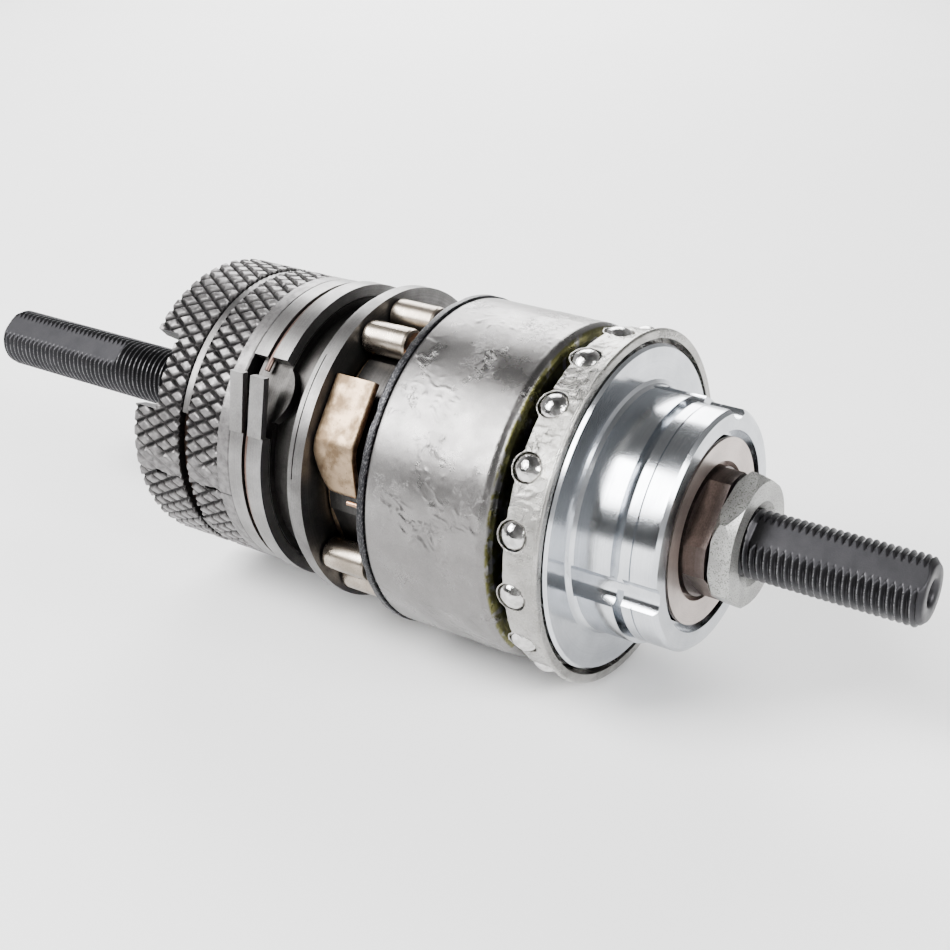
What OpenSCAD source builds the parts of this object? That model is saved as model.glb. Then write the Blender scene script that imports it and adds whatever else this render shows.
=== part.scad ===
// Internal unit of a three-speed bicycle hub gear with a coaster brake, without its hub shell.
// +Y runs along the axle from the drive side to the brake side, +Z is up, and the origin is on
// the axle's centre line at the outer face of the drive-side locknut. Stations are distances
// along +Y from that face, and angles turn from +X towards +Z. Millimetres.

/* [Axle] */
// Diameter of the axle over its thread, 3/8 inch
axle_d = 9.525; // [9.4:0.025:9.6]
// Length of axle outside the drive-side locknut
drive_end = 23.8; // [18:0.1:40]
// Station of the brake-side end of the axle
brake_end = 141.1; // [125:0.1:170]
// Width of the axle across its two flats, 5/16 inch
axle_flats = 7.94; // [7.8:0.02:8.6]
// Station where the brake-side flats begin
brake_flat_start = 114.3; // [100:0.1:120]
// Diameter of the push-rod bore in the drive end
rod_bore_d = 3.3; // [2.8:0.1:3.6]
// Width of the locknut across its flats
locknut_flats = 17; // [16:0.5:18]

/* [Gears] */
// Tooth module of the planetary gears
tooth_module = 0.9; // [0.88:0.01:0.92]
// Teeth on the sun gear
sun_teeth = 16; // [16:1:16]
// Teeth on each planet gear
planet_teeth = 14; // [14:1:14]
// Number of planet gears
planet_count = 4; // [4:1:4]
// Play between two meshing teeth, along the pitch circle
tooth_play = 0.1; // [0.06:0.01:0.16]
// Outside radius of the ring gear
ring_r = 24.3; // [23.8:0.1:24.5]

/* [Driver] */
// Diameter of the sprocket seat, 1 3/8 inch
seat_d = 34.9; // [34.5:0.1:35.1]
// Outside radius of the driver's flange
flange_r = 23.2; // [22.8:0.1:23.4]
// Radius of the sprocket notches' floor
notch_floor_r = 15.5; // [15.3:0.1:15.9]
// Number of balls in the drive-side hub bearing
drive_ball_count = 17; // [12:1:18]

/* [Roller clutch] */
// Radius of each clutch roller
roller_r = 2.4; // [2.3:0.05:2.5]
// Distance from the axle's centre line to a roller's centre
roller_orbit = 20.6; // [20.4:0.1:20.8]
// Angle of the first roller
first_roller = 90.5; // [80:0.5:100]
// Slope of the cam under each roller, in degrees
cam_slope = 7; // [6:0.5:8]

/* [Brake] */
// Outside radius of the brake shoes
shoe_r = 22.25; // [21.8:0.05:22.5]
// Station of the shoes' brake-side end
shoe_end = 91.6; // [88:0.1:93]
// Angle of the middle of the first shoe
shoe_middle = 130; // [100:1:160]
// Half of the taper angle inside the shoes
taper = 22.6; // [20:0.2:24]
// Radius at the tip of a friction ring's raised tab
tab_tip_r = 25.75; // [24:0.05:26]

/* [Hidden] */
$fn = 96;

// Materials' colours
black_steel = [0.20, 0.20, 0.21];
satin_steel = [0.62, 0.61, 0.60];
zinc = [0.74, 0.75, 0.74];
bright_steel = [0.82, 0.83, 0.85];
dark_steel = [0.33, 0.33, 0.34];
brown_steel = [0.36, 0.31, 0.29];
bronze = [0.66, 0.55, 0.42];
copper = [0.70, 0.48, 0.36];
cap_steel = [0.72, 0.67, 0.63];

// Axle
axle_r = axle_d / 2;
end_chamfer = 0.9;
flat_angle = 128;
drive_flat_end = -0.4;
rod_mouth_r = 2.1;
key_slot_from = 21.4;
key_slot_to = 27.8;
key_slot_w = 3.1;

// Drive-side cone and its balls
cone_from = 3.35;
cone_to = 13.6;
cone_r = 9.05;
cone_flats = 15.56;
cone_flat_angle = 136;
cone_flat_to = 6.5;
cone_nose_r = 8.15;
ball_r = 2.38;
race_r = 2.45;
cone_ball_orbit = 10.6;
cone_ball_station = 11.6;
cone_ball_count = 13;
cap_from = 6.7;

// Driver
driver_from = 6.3;
driver_to = 26;
seat_r = seat_d / 2;
collar_r = 16.9;
flange_from = 18.7;
notch_r = 2.7;
notch_to = 18.2;
notch_angle = 70.75;
driver_bore_r = 9.4;
spline_from = 16.5;
clutch_room_r = 12.9;
slot_r = 14.9;
slot_angle = 22;
dog_count = 4;
drive_ball_orbit = 22.75;
drive_ball_station = 23.3;
drive_race_r = 2.43;
retainer_r = 24.4;
retainer_sheet = 0.5;
drive_ball_turn = 147.4;

// Sliding clutch and key
clutch_from = 20;
clutch_to = 31.2;
clutch_r = 12.6;
clutch_bore_r = 5.2;
dog_r = 14.7;
dog_angle = 21;
key_station = 26.1;
key_side = 3;
key_reach = 8;
key_groove_r = 8.4;
key_groove_w = 3.4;

// Planetary gears
ring_teeth = sun_teeth + 2 * planet_teeth;
sun_pitch_r = tooth_module * sun_teeth / 2;
planet_pitch_r = tooth_module * planet_teeth / 2;
ring_pitch_r = tooth_module * ring_teeth / 2;
planet_orbit = sun_pitch_r + planet_pitch_r;
pressure_angle = 25;
addendum = 0.8 * tooth_module;
dedendum = 1.1 * tooth_module;
gear_from = 36.4;
gear_to = 43.2;
ring_from = 27.2;
ring_to = 46.9;
ring_web_to = 32;
ring_recess_r = 20.9;
cover_to = 48;
pin_r = 2;
planet_bore_r = 2.05;

// Planet carrier, cam and flange
plate_r = 18.3;
front_plate_from = 34.4;
front_plate_to = 36.1;
back_plate_from = 43.8;
back_plate_to = 45.8;
trunk_r = 12;
trunk_to = 80;
carrier_end = 84;
carrier_bore_r = axle_r + 0.05;
cam_from = 48.2;
cam_seat_to = 50.3;
cam_to = 57;
cam_r = 18.9;
flange_plate_from = 58.3;
flange_plate_step = 60.2;
flange_plate_to = 61.4;
flange_plate_r = 23.7;

// Rollers and cage
roller_gap = 0.03;
roller_from = 50.6;
roller_to = 58.1;
pair_angle = 19;
pair_count = 3;
cage_from = 51.2;
cage_foot_from = 57.2;
cage_to = 58.1;
cage_r = 22.3;
cage_sheet = 1.2;
cage_ring_r = 17.9;

// Brake
neck_from = 61.9;
drum_from = 66.3;
drum_to = 72.6;
drum_r = 20.9;
neck_r = 19.8;
shoe_from = 72.9;
shoe_mouth_r = 20;
shoe_bore_r = 17.5;
shoe_count = 3;
shoe_split = 0.4;
shoe_notch_from = 87.5;
shoe_notch_offset = 18.25;
shoe_notch_angle = 30.5;
spring_groove_from = 81.3;
spring_groove_to = 82.9;
spring_groove_r = 20.6;
cone_taper_gap = 0.28;
cone_nose_to = 78.4;
tab_root_angle = 163;
tab_tip_angle = 143;
ring_gap_angle = 30;
strip_t = 1.1;
tab_step = 0.35;

// Turns a shape built along Z so that it lies along the axle, with its angles from +X to +Z.
module on_axle() rotate([-90, 0, 0]) mirror([0, 1, 0]) children();

// Straight tube between two stations.
module tube(r_in, r_out, from, to) translate([0, 0, from]) difference() {
  cylinder(r = r_out, h = to - from);
  translate([0, 0, -1]) cylinder(r = r_in, h = to - from + 2);
}

// Part of a tube between two angles.
module arc_tube(r_in, r_out, from, to, start, sweep) rotate([0, 0, start])
  rotate_extrude(angle = sweep) translate([r_in, from]) square([r_out - r_in, to - from]);

// Point at a radius and an angle.
function polar(r, a) = [r * cos(a), r * sin(a)];

// Flat strip with round ends between two points, in plan.
module strip(p, q, width) {
  run = q - p;
  translate(p) rotate(atan2(run[1], run[0])) translate([0, -width / 2]) square([norm(run), width]);
  translate(p) circle(d = width);
  translate(q) circle(d = width);
}

// Balls of a bearing, equally spaced.
module ball_row(count, orbit, station, r, turn = 0) for (i = [0 : count - 1])
  rotate([0, 0, turn + i * 360 / count]) translate([orbit, 0, station]) sphere(r = r);

// Involute of an angle, in degrees.
function inv(a) = tan(a) * 180 / PI - a;

// Half of the angle that a tooth covers at a radius, for a tooth of this half angle at pitch.
function tooth_half(r, pitch_r, half) =
  half + inv(pressure_angle) - inv(acos(min(1, pitch_r * cos(pressure_angle) / r)));

// Outline of a gear with involute flanks, with a tooth at angle 0. thicker adds to the teeth.
function gear_points(teeth, tip_r, root_r, thicker) =
  let (pitch_r = tooth_module * teeth / 2)
  let (half = 90 / teeth + thicker / pitch_r * 90 / PI)
  let (low_r = max(root_r, pitch_r * cos(pressure_angle)))
  let (radii = [for (i = [0 : 4]) low_r + (tip_r - low_r) * i / 4])
  [for (k = [0 : teeth - 1]) each concat(
    [polar(root_r, k * 360 / teeth - tooth_half(low_r, pitch_r, half))],
    [for (r = radii) polar(r, k * 360 / teeth - tooth_half(r, pitch_r, half))],
    [for (i = [4 : -1 : 0]) polar(radii[i], k * 360 / teeth + tooth_half(radii[i], pitch_r, half))],
    [polar(root_r, k * 360 / teeth + tooth_half(low_r, pitch_r, half))])];

// Axle with its thread drawn as a plain rod, two flats at each end, a bore and a key slot.
module axle() color(black_steel) on_axle() difference() {
  union() {
    translate([0, 0, end_chamfer - drive_end])
      cylinder(r = axle_r, h = brake_end + drive_end - 2 * end_chamfer);
    translate([0, 0, -drive_end]) cylinder(r1 = axle_r - end_chamfer, r2 = axle_r, h = end_chamfer);
    translate([0, 0, brake_end - end_chamfer])
      cylinder(r1 = axle_r, r2 = axle_r - end_chamfer, h = end_chamfer);
  }
  for (side = [0, 180]) rotate([0, 0, flat_angle + side]) {
    translate([axle_flats / 2, -axle_d, -drive_end - 1])
      cube([axle_d, 2 * axle_d, drive_end + 1 + drive_flat_end]);
    translate([axle_flats / 2, -axle_d, brake_flat_start])
      cube([axle_d, 2 * axle_d, brake_end]);
  }
  translate([0, 0, -drive_end - 1]) cylinder(d = rod_bore_d, h = drive_end + 1 + key_slot_from);
  translate([0, 0, -drive_end]) cylinder(r1 = rod_mouth_r, r2 = rod_bore_d / 2, h = 0.5);
  translate([-axle_d, -key_slot_w / 2, key_slot_from])
    cube([2 * axle_d, key_slot_w, key_slot_to - key_slot_from]);
}

// Sun gear, pressed on the axle.
module sun_gear() color(satin_steel) on_axle() translate([0, 0, gear_from]) difference() {
  linear_extrude(gear_to - gear_from)
    polygon(gear_points(sun_teeth, sun_pitch_r + addendum, sun_pitch_r - dedendum, -tooth_play / 2));
  translate([0, 0, -1]) cylinder(r = axle_r, h = gear_to - gear_from + 2);
}

// Points round the clutch spring's wire at one turn angle.
function coil_ring(a, mean_r, wire_r, pitch, sides) = [for (i = [0 : sides - 1])
  let (r = mean_r + wire_r * cos(i * 360 / sides))
  [r * cos(a), r * sin(a), pitch * a / 360 + wire_r * sin(i * 360 / sides)]];

// Coil that pushes the sliding clutch back to the drive side, drawn at its length at rest.
module clutch_spring() {
  sides = 8;
  steps = 56;
  turns = 3.5;
  wire_r = 0.45;
  from = clutch_to + 0.12 + wire_r;
  pitch = (gear_from - from - wire_r - 0.05) / turns;
  rings = [for (i = [0 : steps]) each coil_ring(i * turns * 360 / steps, 6.1, wire_r, pitch, sides)];
  walls = [for (i = [0 : steps - 1], j = [0 : sides - 1])
    [i * sides + j, i * sides + (j + 1) % sides,
     (i + 1) * sides + (j + 1) % sides, (i + 1) * sides + j]];
  first = [for (j = [sides - 1 : -1 : 0]) j];
  last = [for (j = [0 : sides - 1]) steps * sides + j];
  color(bright_steel) on_axle() translate([0, 0, from])
    polyhedron(points = rings, faces = concat(walls, [first, last]));
}

// Cone that the driver's outer balls run on, with four spanner flats.
module drive_cone() color(brown_steel) on_axle() difference() {
  union() {
    difference() {
      translate([0, 0, cone_from]) cylinder(r = cone_r, h = cone_ball_station - cone_from);
      rotate_extrude() translate([cone_ball_orbit, cone_ball_station]) circle(r = race_r);
      for (k = [0 : 3]) rotate([0, 0, cone_flat_angle + 90 * k])
        translate([cone_flats / 2, -cone_r, cone_from - 1])
          cube([cone_r, 2 * cone_r, cone_flat_to - cone_from + 1]);
    }
    translate([0, 0, cone_flat_to]) cylinder(r = cone_nose_r, h = cone_to - cone_flat_to);
  }
  translate([0, 0, cone_from - 1]) cylinder(r = axle_r, h = cone_to);
}

// Dished steel cap pressed on the cone, which closes the mouth of the driver.
module drive_dust_cap() color(cap_steel) on_axle() rotate_extrude()
  polygon([[9.75, cap_from], [13.05, cap_from - 0.2], [13.05, cap_from + 0.3],
           [10.25, cap_from + 0.6], [10.25, 8.7], [cone_r, 8.7], [cone_r, 8.2], [9.75, 8.2]]);

// Washer between the cone and the locknut.
module cone_washer() color(dark_steel) on_axle() tube(axle_r, 7.2, 3, cone_from);

// Hexagon locknut, chamfered on both sides, with a countersunk thread.
module drive_locknut() color(zinc) on_axle() difference() {
  intersection() {
    rotate([0, 0, 144.3]) cylinder(d = locknut_flats / cos(30), h = 3, $fn = 6);
    cylinder(r1 = locknut_flats / 2 + 0.1, r2 = locknut_flats / 2 + 6, h = 6);
    translate([0, 0, -3]) cylinder(r1 = locknut_flats / 2 + 6.3, r2 = locknut_flats / 2 + 0.3, h = 6);
  }
  translate([0, 0, -1]) cylinder(r = axle_r, h = 5);
  cylinder(r1 = 5.9, r2 = axle_r, h = 0.8);
}

// Washer and nut that hold the planet carrier on the axle at the brake side.
module stop_washer() color(dark_steel) on_axle() tube(axle_r, 8, carrier_end + 0.2, carrier_end + 1.2);

module stop_nut() color(black_steel) on_axle() translate([0, 0, carrier_end + 1.2]) difference() {
  rotate([0, 0, 15]) cylinder(d = 15 / cos(30), h = 3.4, $fn = 6);
  translate([0, 0, -1]) cylinder(r = axle_r, h = 6);
}

// Key that crosses the axle's slot and moves the sliding clutch.
module shift_key() color(bright_steel) on_axle()
  translate([-key_reach, -key_side / 2 + 0.02, key_station - key_side / 2])
    cube([2 * key_reach, key_side - 0.04, key_side]);

// Clutch that slides in the driver's slots, with a groove for the key's ends.
module sliding_clutch() color(satin_steel) on_axle() difference() {
  union() {
    translate([0, 0, clutch_from]) cylinder(r = clutch_r, h = clutch_to - clutch_from);
    for (k = [0 : dog_count - 1])
      arc_tube(clutch_r - 1, dog_r, clutch_from, clutch_to, 45 + k * 90 - dog_angle / 2, dog_angle);
  }
  translate([0, 0, clutch_from - 1]) cylinder(r = clutch_bore_r, h = clutch_to);
  translate([0, 0, key_station - key_groove_w / 2]) cylinder(r = key_groove_r, h = key_groove_w);
}

// Room for the clutch and its dogs, with a slot for each dog.
module clutch_room(from, to) {
  translate([0, 0, from]) cylinder(r = clutch_room_r, h = to - from);
  for (k = [0 : dog_count - 1])
    arc_tube(clutch_room_r - 1, slot_r, from, to, 45 + k * 90 - slot_angle / 2, slot_angle);
}

// Driver: sprocket seat with three notches, flange, ball race and slots for the clutch.
module driver() color(bright_steel) on_axle() difference() {
  rotate_extrude() difference() {
    polygon([
      [driver_bore_r, cone_ball_station], [13.05, cone_ball_station], [13.05, 7.9], [14.1, 7.9],
      [14.1, driver_from], [collar_r - 0.5, driver_from], [collar_r, driver_from + 0.5],
      [collar_r, 9.9], [collar_r - 0.3, 10], [collar_r, 10.1], [collar_r, 11.5], [15.6, 11.5],
      [15.6, 12.5], [seat_r, 12.5], [seat_r, 17.9], [seat_r + 0.35, 18.45],
      [seat_r + 0.9, flange_from], [flange_r - 0.4, flange_from], [flange_r, flange_from + 0.4],
      [flange_r, 21.4], [21.6, driver_to], [driver_bore_r, driver_to]
    ]);
    translate([drive_ball_orbit, drive_ball_station]) circle(r = drive_race_r);
    translate([cone_ball_orbit, cone_ball_station]) circle(r = race_r);
  }
  for (k = [0 : 2]) rotate([0, 0, notch_angle + 120 * k])
    translate([notch_floor_r + notch_r, 0, driver_from - 1])
      cylinder(r = notch_r, h = notch_to - driver_from + 1, $fn = 48);
  clutch_room(spline_from, driver_to + 1);
}

// Loose balls between the cone and the driver.
module cone_balls() color(bright_steel) on_axle()
  ball_row(cone_ball_count, cone_ball_orbit, cone_ball_station, ball_r);

// Pressed steel retainer of the drive-side hub bearing.
module drive_ball_retainer() color(satin_steel) on_axle() difference() {
  union() {
    tube(retainer_r - retainer_sheet, retainer_r, 19.3, 25.6);
    rotate_extrude() polygon([[24.05, 18.9], [25, 18.9], [25.3, 19.15], [25.3, 19.5], [25, 19.7],
                              [24.05, 19.7]]);
  }
  ball_row(drive_ball_count, drive_ball_orbit, drive_ball_station, ball_r + 0.08, drive_ball_turn);
}

// Balls of the drive-side hub bearing.
module drive_balls() color(bright_steel) on_axle()
  ball_row(drive_ball_count, drive_ball_orbit, drive_ball_station, ball_r, drive_ball_turn);

// Ring gear with internal teeth and slots for the sliding clutch.
module ring_gear() color(satin_steel) on_axle() difference() {
  rotate_extrude() polygon([
    [0, ring_from], [ring_r - 1.6, ring_from], [ring_r - 0.5, ring_from + 0.35],
    [ring_r, ring_from + 1.2], [ring_r, ring_to - 0.4], [ring_r - 0.3, ring_to],
    [0, ring_to]
  ]);
  clutch_room(ring_from - 1, ring_web_to + 1);
  translate([0, 0, ring_web_to]) cylinder(r = ring_recess_r, h = gear_from - 0.5 - ring_web_to);
  translate([0, 0, gear_to + 0.5]) cylinder(r = ring_recess_r, h = 5);
  translate([0, 0, gear_from - 1]) linear_extrude(gear_to - gear_from + 2)
    rotate(180 / ring_teeth) polygon(gear_points(ring_teeth, ring_pitch_r + dedendum,
      ring_pitch_r - addendum, tooth_play / 2));
}

// Plate that closes the ring gear on the roller side.
module ring_gear_cover() color(dark_steel) on_axle() tube(17.2, 24.6, ring_to, cover_to);

// Planet carrier: two plates with posts between them, and the trunk that carries the cam.
module planet_carrier() color(satin_steel) on_axle() difference() {
  union() {
    tube(8.8, plate_r, front_plate_from, front_plate_to);
    for (i = [0 : planet_count - 1]) rotate([0, 0, 45 + i * 90])
      translate([14.5, 0, front_plate_from]) cylinder(r = 2.1, h = back_plate_to - front_plate_from);
    tube(carrier_bore_r, plate_r, back_plate_from, back_plate_to);
    tube(carrier_bore_r, 16, back_plate_to, cam_from);
    tube(carrier_bore_r, trunk_r, cam_from, trunk_to);
    tube(carrier_bore_r, 9.5, trunk_to, carrier_end);
  }
  for (i = [0 : planet_count - 1]) rotate([0, 0, i * 90])
    translate([planet_orbit, 0, front_plate_from - 1]) cylinder(r = pin_r, h = 12.4, $fn = 48);
}

// Pins that the planet gears turn on.
module planet_pins() color(bright_steel) on_axle()
  for (i = [0 : planet_count - 1]) rotate([0, 0, i * 90])
    translate([planet_orbit, 0, front_plate_from]) cylinder(r = pin_r, h = 11.4, $fn = 48);

// One planet gear, turned so that it meshes with the sun and the ring gear.
module planet_gear(i) color(satin_steel) on_axle() rotate([0, 0, 90 * i])
  translate([planet_orbit, 0, gear_from]) difference() {
    linear_extrude(gear_to - gear_from) rotate(90 * i * sun_teeth / planet_teeth + 180 / planet_teeth)
      polygon(gear_points(planet_teeth, planet_pitch_r + addendum, planet_pitch_r - dedendum,
        -tooth_play / 2));
    translate([0, 0, -1]) cylinder(r = planet_bore_r, h = gear_to - gear_from + 2, $fn = 48);
  }

// Angles of the six clutch rollers, in three pairs.
function roller_angle(n) =
  first_roller + floor((n - 1) / 2) * 360 / pair_count + ((n - 1) % 2) * pair_angle;

// Cam with one sloping flat under each roller.
module roller_cam() color(dark_steel) on_axle() difference() {
  union() {
    tube(trunk_r, 17.5, cam_from, cam_seat_to);
    difference() {
      tube(trunk_r, cam_r, cam_seat_to, cam_to);
      for (n = [1 : 2 * pair_count]) rotate([0, 0, roller_angle(n) - cam_slope])
        translate([roller_orbit * cos(cam_slope) - roller_r - roller_gap, -5, cam_seat_to - 1])
          cube([5, 10, cam_to]);
    }
    tube(trunk_r, 16.3, cam_to, flange_plate_from);
  }
}

// Flange beside the rollers, with a stepped rim and a fine groove.
module cam_flange() color(satin_steel) on_axle() difference() {
  union() {
    tube(trunk_r, flange_plate_r, flange_plate_from, flange_plate_step);
    tube(trunk_r, flange_plate_r - 0.8, flange_plate_step, flange_plate_to);
  }
  arc_tube(flange_plate_r - 0.3, flange_plate_r + 1, flange_plate_step - 0.3, flange_plate_step - 0.1,
    128, 45);
}

// One clutch roller with rounded edges.
module roller(n) color(bright_steel) on_axle() rotate([0, 0, roller_angle(n)])
  translate([roller_orbit, 0, 0]) rotate_extrude($fn = 48) polygon([
    [0, roller_from], [roller_r - 0.5, roller_from], [roller_r - 0.12, roller_from + 0.15],
    [roller_r, roller_from + 0.55], [roller_r, roller_to - 0.55], [roller_r - 0.12, roller_to - 0.15],
    [roller_r - 0.5, roller_to], [0, roller_to]
  ]);

// Cage with three folded posts between the pairs of rollers.
module roller_cage() color(bronze) on_axle() {
  tube(cage_ring_r - 1.4, cage_ring_r, cage_foot_from, cage_to);
  for (i = [0 : pair_count - 1]) rotate([0, 0, i * 360 / pair_count]) {
    arc_tube(cage_r - cage_sheet, cage_r, cage_from, cage_to, 131.5, 32);
    arc_tube(cage_ring_r - 0.6, cage_r - 0.6, cage_foot_from + 0.1, cage_to - 0.1, 136, 22);
    translate([0, 0, cage_from + 0.1]) linear_extrude(cage_to - cage_from - 0.2)
      strip(polar(cage_r - cage_sheet / 2, 162.5), polar(19.65, 178), cage_sheet - 0.2);
  }
}

// Wire that turns the cage back, seated beside the cam.
module cage_spring() color(copper) on_axle() {
  rotate([0, 0, 220]) rotate_extrude(angle = 319)
    translate([20.4, 49.3]) circle(r = 0.35, $fn = 24);
  for (end = [[180, 3.3], [220, 1.6]]) rotate([0, 0, end[0]]) translate([20.4, 0, 49.3]) {
    sphere(r = 0.5, $fn = 24);
    cylinder(r = 0.35, h = end[1], $fn = 24);
  }
}

// Radius inside the shoes at a station in their drive-side taper.
function shoe_inside(s) = shoe_mouth_r - (s - shoe_from) * tan(taper);

// Brake cone: neck, drum under the friction rings, and the taper that spreads the shoes.
module brake_cone() color(dark_steel) on_axle() {
  rotate_extrude() polygon([
    [trunk_r + 0.05, neck_from], [neck_r - 0.4, neck_from], [neck_r, neck_from + 0.4],
    [neck_r, drum_from], [drum_r, drum_from], [drum_r, drum_to - 1],
    [shoe_inside(drum_to) - cone_taper_gap, drum_to - 1],
    [shoe_inside(drum_to) - cone_taper_gap, drum_to],
    [shoe_inside(cone_nose_to) - cone_taper_gap, cone_nose_to], [trunk_r + 0.05, cone_nose_to]
  ]);
  intersection() {
    arc_tube(neck_r - 0.5, 21.4, 64, drum_from + 0.2, 134.5, 22.5);
    rotate([0, 0, 145]) translate([0, 0, 69.2]) rotate([0, 90, 0]) cylinder(r = 5, h = 30);
  }
}

// Split spring ring with a raised straight tab at one end.
module friction_ring(r_out, from, to) {
  root = polar(r_out + tab_step, tab_root_angle);
  tip = polar(tab_tip_r, tab_tip_angle);
  inward = [tip[1] - root[1], root[0] - tip[0]] / norm(tip - root) * strip_t;
  arc_tube(drum_r + 0.08, r_out, from, to, tab_root_angle, 360 - ring_gap_angle);
  translate([0, 0, from + 0.05]) linear_extrude(to - from - 0.1)
    polygon([root, tip, tip + inward, root + inward]);
}

module friction_ring_drive() color(satin_steel) on_axle() friction_ring(22.7, 66.5, 69.1);

module friction_ring_brake() color(satin_steel) on_axle() friction_ring(22.3, 70.4, 72.8);

// Round wire spring between the two friction rings.
module friction_wire() color(copper) on_axle() rotate([0, 0, 146])
  rotate_extrude(angle = 352) translate([21.75, 69.75]) circle(r = 0.42, $fn = 16);

// One brake shoe, a third of a ring, tapered inside at both ends and notched at the brake side.
module brake_shoe(n) color(dark_steel) on_axle() rotate([0, 0, shoe_middle + (n - 1) * 120])
  difference() {
    rotate([0, 0, -60 + shoe_split / 2]) rotate_extrude(angle = 120 - shoe_split) polygon([
      [shoe_mouth_r, shoe_from], [shoe_r, shoe_from], [shoe_r, spring_groove_from],
      [spring_groove_r, spring_groove_from], [spring_groove_r, spring_groove_to],
      [shoe_r, spring_groove_to], [shoe_r, shoe_end], [shoe_mouth_r, shoe_end],
      [shoe_bore_r, shoe_end - (shoe_mouth_r - shoe_bore_r) / tan(taper)],
      [shoe_bore_r, shoe_from + (shoe_mouth_r - shoe_bore_r) / tan(taper)]
    ]);
    arc_tube(shoe_bore_r - 1, shoe_r + 1, shoe_notch_from, shoe_end + 1,
      shoe_notch_offset - shoe_notch_angle / 2, shoe_notch_angle);
  }

// Split spring band in the shoes' groove.
module shoe_spring() color(brown_steel) on_axle()
  arc_tube(21.15, 21.8, spring_groove_from + 0.25, spring_groove_to - 0.25, 212, 310);

axle();
sun_gear();
clutch_spring();
drive_cone();
drive_dust_cap();
cone_washer();
drive_locknut();
stop_washer();
stop_nut();
shift_key();
sliding_clutch();
driver();
cone_balls();
drive_ball_retainer();
drive_balls();
ring_gear();
ring_gear_cover();
planet_carrier();
planet_pins();
roller_cam();
cam_flange();
planet_gear(0);  // planet_gear_1
planet_gear(1);  // planet_gear_2
planet_gear(2);  // planet_gear_3
planet_gear(3);  // planet_gear_4
roller_cage();
cage_spring();
roller(1);  // roller_1
roller(2);  // roller_2
roller(3);  // roller_3
roller(4);  // roller_4
roller(5);  // roller_5
roller(6);  // roller_6
brake_cone();
friction_ring_drive();
friction_ring_brake();
friction_wire();
brake_shoe(1);  // brake_shoe_1
brake_shoe(2);  // brake_shoe_2
brake_shoe(3);  // brake_shoe_3
shoe_spring();
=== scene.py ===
"""Bicycle hub gear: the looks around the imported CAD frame.

The frame's +Y runs along the axle from the drive side to the brake side and +Z is up. Shapes are
given in millimetres as (radius, station, angle): a station is a distance along +Y, and an angle
turns from +X towards +Z. The mesh builders change them to metres.
"""

from math import cos, hypot, pi, radians, sin

import bpy
import numpy as np
from mathutils import Matrix, Vector, noise


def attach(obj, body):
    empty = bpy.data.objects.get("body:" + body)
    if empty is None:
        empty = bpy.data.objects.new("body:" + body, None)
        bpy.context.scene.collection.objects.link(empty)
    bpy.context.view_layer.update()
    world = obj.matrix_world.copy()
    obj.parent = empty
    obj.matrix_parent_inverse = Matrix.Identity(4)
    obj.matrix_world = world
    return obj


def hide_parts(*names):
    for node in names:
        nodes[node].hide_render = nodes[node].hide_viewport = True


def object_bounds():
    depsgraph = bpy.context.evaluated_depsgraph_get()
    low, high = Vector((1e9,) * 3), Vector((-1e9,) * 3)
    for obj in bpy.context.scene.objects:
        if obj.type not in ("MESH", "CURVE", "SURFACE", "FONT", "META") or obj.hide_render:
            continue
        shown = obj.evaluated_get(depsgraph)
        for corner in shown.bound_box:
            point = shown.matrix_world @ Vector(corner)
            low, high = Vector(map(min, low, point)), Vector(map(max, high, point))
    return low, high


MM = 0.001

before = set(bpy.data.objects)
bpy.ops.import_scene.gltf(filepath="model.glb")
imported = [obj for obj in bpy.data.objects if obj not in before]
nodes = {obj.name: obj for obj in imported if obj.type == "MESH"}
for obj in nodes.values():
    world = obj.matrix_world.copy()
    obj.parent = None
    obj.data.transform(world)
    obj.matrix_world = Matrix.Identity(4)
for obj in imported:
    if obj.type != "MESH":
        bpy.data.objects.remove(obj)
cad_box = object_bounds()


# Camera, floor and light

CAMERA_AT = (-0.176238, -0.072557, 0.099325)
CAMERA_RIGHT = Vector((0.554602, -0.832116, 0.0))
CAMERA_UP = Vector((0.358408, 0.238878, 0.902486))
CAMERA_FORWARD = Vector((0.750973, 0.500520, -0.430719))
LENS_MM, SENSOR_MM = 60.54, 36.0
FLOOR_GAP = 0.0004
FLOOR_Z = cad_box[0][2] - FLOOR_GAP
FLOOR_HALF = 3.0
LIT_POINT = (0, 0.06, 0)
SOFTBOXES = (
    ("key", (-0.42, 0.42, 0.50), (0.42, 0.52), 17.0),
    ("back", (0.55, 0.42, 0.36), (0.45, 0.45), 9.0),
    ("front", (-0.15, -0.70, 0.45), (0.5, 0.3), 11.0),
)
HORIZON, ZENITH = 0.62, 0.12
DARK_SIDE = (-0.87, 0.5, 0.12)
DARK_EDGE, DARK_CORE, DARK_SHARE = 0.80, 0.97, 0.12


def add_camera():
    data = bpy.data.cameras.new("camera")
    data.lens = LENS_MM
    data.sensor_width = SENSOR_MM
    camera = bpy.data.objects.new("camera", data)
    turn = Matrix((CAMERA_RIGHT, CAMERA_UP, -CAMERA_FORWARD)).transposed()
    camera.matrix_world = Matrix.Translation(CAMERA_AT) @ turn.to_4x4()
    bpy.context.scene.collection.objects.link(camera)
    bpy.context.scene.camera = camera


def add_softbox(name, at, size, power):
    data = bpy.data.lights.new(name, "AREA")
    data.shape = "RECTANGLE"
    data.size, data.size_y = size
    data.energy = power
    light = bpy.data.objects.new(name, data)
    light.location = at
    light.rotation_euler = (Vector(LIT_POINT) - Vector(at)).to_track_quat("-Z", "Y").to_euler()
    bpy.context.scene.collection.objects.link(light)


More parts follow.
